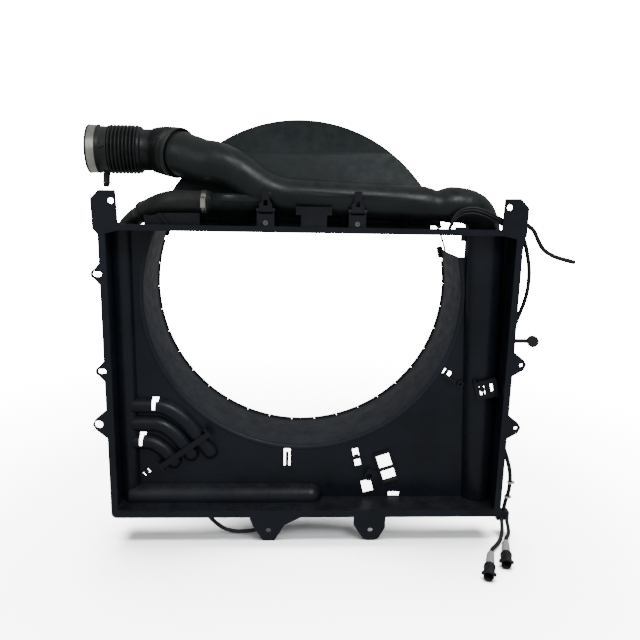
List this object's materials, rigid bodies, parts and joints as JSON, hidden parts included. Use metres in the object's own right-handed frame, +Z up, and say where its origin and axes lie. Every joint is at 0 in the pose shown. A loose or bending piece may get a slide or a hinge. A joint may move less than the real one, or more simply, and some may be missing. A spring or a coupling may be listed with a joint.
{
  "type": "radiator fan shroud",
  "caption": "Moulded shroud that seats on a radiator and rings its fan, with a raised cowl, an intake duct with bellows, latches, a branch hose and wiring.",
  "frame": {"origin": "where the fan axis meets the radiator side of the flange", "axes": "+X to the right as seen from the radiator, +Y towards the engine along the fan axis, +Z up"},
  "size_m": [0.7383, 0.28, 0.66],
  "materials": {
    "pan_plastic": "matte moulded",
    "ring_plastic": "satin moulded",
    "cowl_plastic": "satin moulded",
    "duct_plastic": "satin moulded",
    "clip_plastic": "matte moulded",
    "black_rubber": "matte",
    "conduit_plastic": "ribbed",
    "clamp_steel": "brushed",
    "screw_steel": "zinc",
    "seal_white": "smooth"
  },
  "bodies": {
    "shroud": {"shroud_pan": "pan_plastic", "fan_ring": "ring_plastic", "ring_lip_lower": "black_rubber", "upper_cowl": "cowl_plastic", "ring_lip_upper": "black_rubber", "cowl_hook_left": "clip_plastic", "cowl_hook_right": "clip_plastic", "air_duct": "duct_plastic", "duct_bracket": "clip_plastic", "latch_base_left": "clip_plastic", "latch_base_right": "clip_plastic", "latch_pin_left": "clip_plastic", "latch_pin_right": "clip_plastic", "latch_screws": "screw_steel", "duct_cuff": "black_rubber", "vent_hose": "black_rubber", "vent_pipe": "duct_plastic", "hose_bracket": "clip_plastic", "vent_clamp_band": "clamp_steel", "vent_clamp_housing": "clamp_steel", "channel_strap": "clip_plastic", "side_conduit": "conduit_plastic", "bottom_conduit": "conduit_plastic", "conduit_clips": "clip_plastic", "end_housings": "clip_plastic", "cable_ties": "seal_white", "harness_junction": "clip_plastic", "lead_a": "conduit_plastic", "lead_b": "conduit_plastic", "plug_collar_a": "seal_white", "plug_collar_b": "seal_white", "plug_barrel_a": "clip_plastic", "plug_barrel_b": "clip_plastic", "plug_insert_a": "clip_plastic", "plug_insert_b": "clip_plastic", "breather_pipe": "duct_plastic", "breather_block": "clip_plastic", "elbow_wires": "conduit_plastic", "wire_clip": "clip_plastic", "rubber_strap": "black_rubber", "rubber_button": "black_rubber", "holder_clip": "clip_plastic", "hook_clip": "clip_plastic", "square_clip": "clip_plastic", "centre_clip": "clip_plastic", "connector_holder": "clip_plastic", "slot_clip": "clip_plastic"},
    "latch_left": {"latch_left": "clip_plastic"},
    "latch_right": {"latch_right": "clip_plastic"},
    "neck": {"neck_bellows": "black_rubber", "inlet_neck": "duct_plastic"},
    "inlet_end": {"inlet_bellows": "black_rubber", "inlet_cuff": "black_rubber", "inlet_clamp_band": "clamp_steel", "inlet_clamp_housing": "clamp_steel"},
    "inlet_clamp_screw": {"inlet_clamp_screw": "screw_steel"},
    "vent_clamp_screw": {"vent_clamp_screw": "screw_steel"}
  },
  "joints": [
    {"name": "latch_left_hinge", "type": "hinge", "parent": "shroud", "child": "latch_left", "pos_m": [-0.0585, 0.0036, 0.138], "axis": [1, 0, 0], "range_deg": [0, 75]},
    {"name": "latch_right_hinge", "type": "hinge", "parent": "shroud", "child": "latch_right", "pos_m": [0.0755, 0.0036, 0.138], "axis": [1, 0, 0], "range_deg": [0, 75]},
    {"name": "neck_flex", "type": "hinge", "parent": "shroud", "child": "neck", "pos_m": [-0.2115, 0.0622, 0.2183], "axis": [0, 0, 1], "range_deg": [-8, 8], "stiffness_Nm_per_rad": 6, "deforming": ["neck_bellows"]},
    {"name": "inlet_flex", "type": "hinge", "parent": "neck", "child": "inlet_end", "pos_m": [-0.269, 0.065, 0.219], "axis": [0, 1, 0], "range_deg": [-8, 8], "stiffness_Nm_per_rad": 8, "deforming": ["inlet_bellows"]},
    {"name": "inlet_clamp_turn", "type": "hinge", "parent": "inlet_end", "child": "inlet_clamp_screw", "pos_m": [-0.313, 0.1041, 0.219], "axis": [0, 0, 1], "continuous": true},
    {"name": "vent_clamp_turn", "type": "hinge", "parent": "shroud", "child": "vent_clamp_screw", "pos_m": [-0.1485, 0.0029, 0.147], "axis": [0, 0, 1], "continuous": true}
  ]
}
